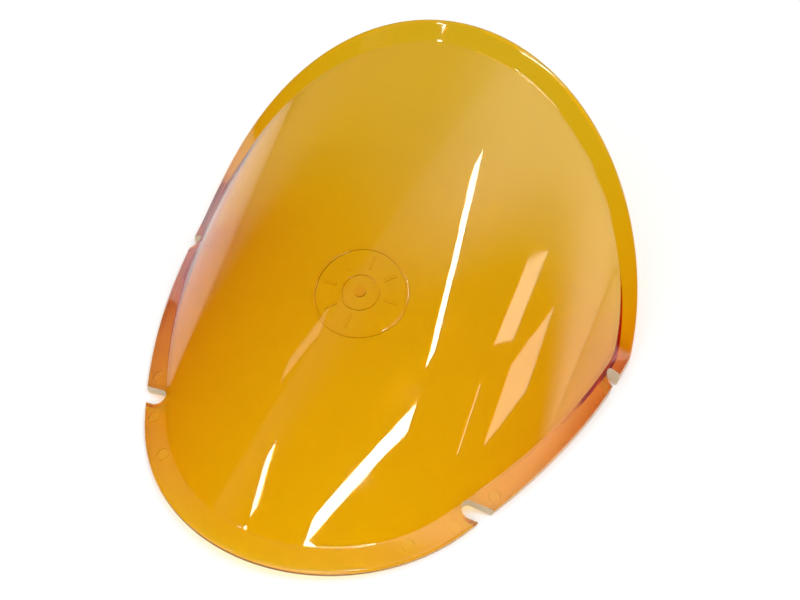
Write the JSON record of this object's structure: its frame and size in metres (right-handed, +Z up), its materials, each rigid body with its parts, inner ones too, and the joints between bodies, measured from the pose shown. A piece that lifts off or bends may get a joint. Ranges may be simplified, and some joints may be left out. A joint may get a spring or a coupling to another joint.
{
  "type": "signal lens",
  "caption": "Transparent amber moulded lens cover: an egg-shaped arched shell with a flared flange, U-shaped edge notches and a plain crown mark.",
  "frame": {"origin": "on the table plane, below the middle of the bounding box, in the pose the lens rests in", "axes": "+Z up from the table and along the mould draw, +Y towards the wide end, +X across to the right"},
  "size_m": [0.2, 0.2062, 0.1108],
  "materials": {
    "amber_lens": "clear amber, polished both sides"
  },
  "bodies": {
    "root": {"signal_lens": "amber_lens"}
  },
  "joints": []
}
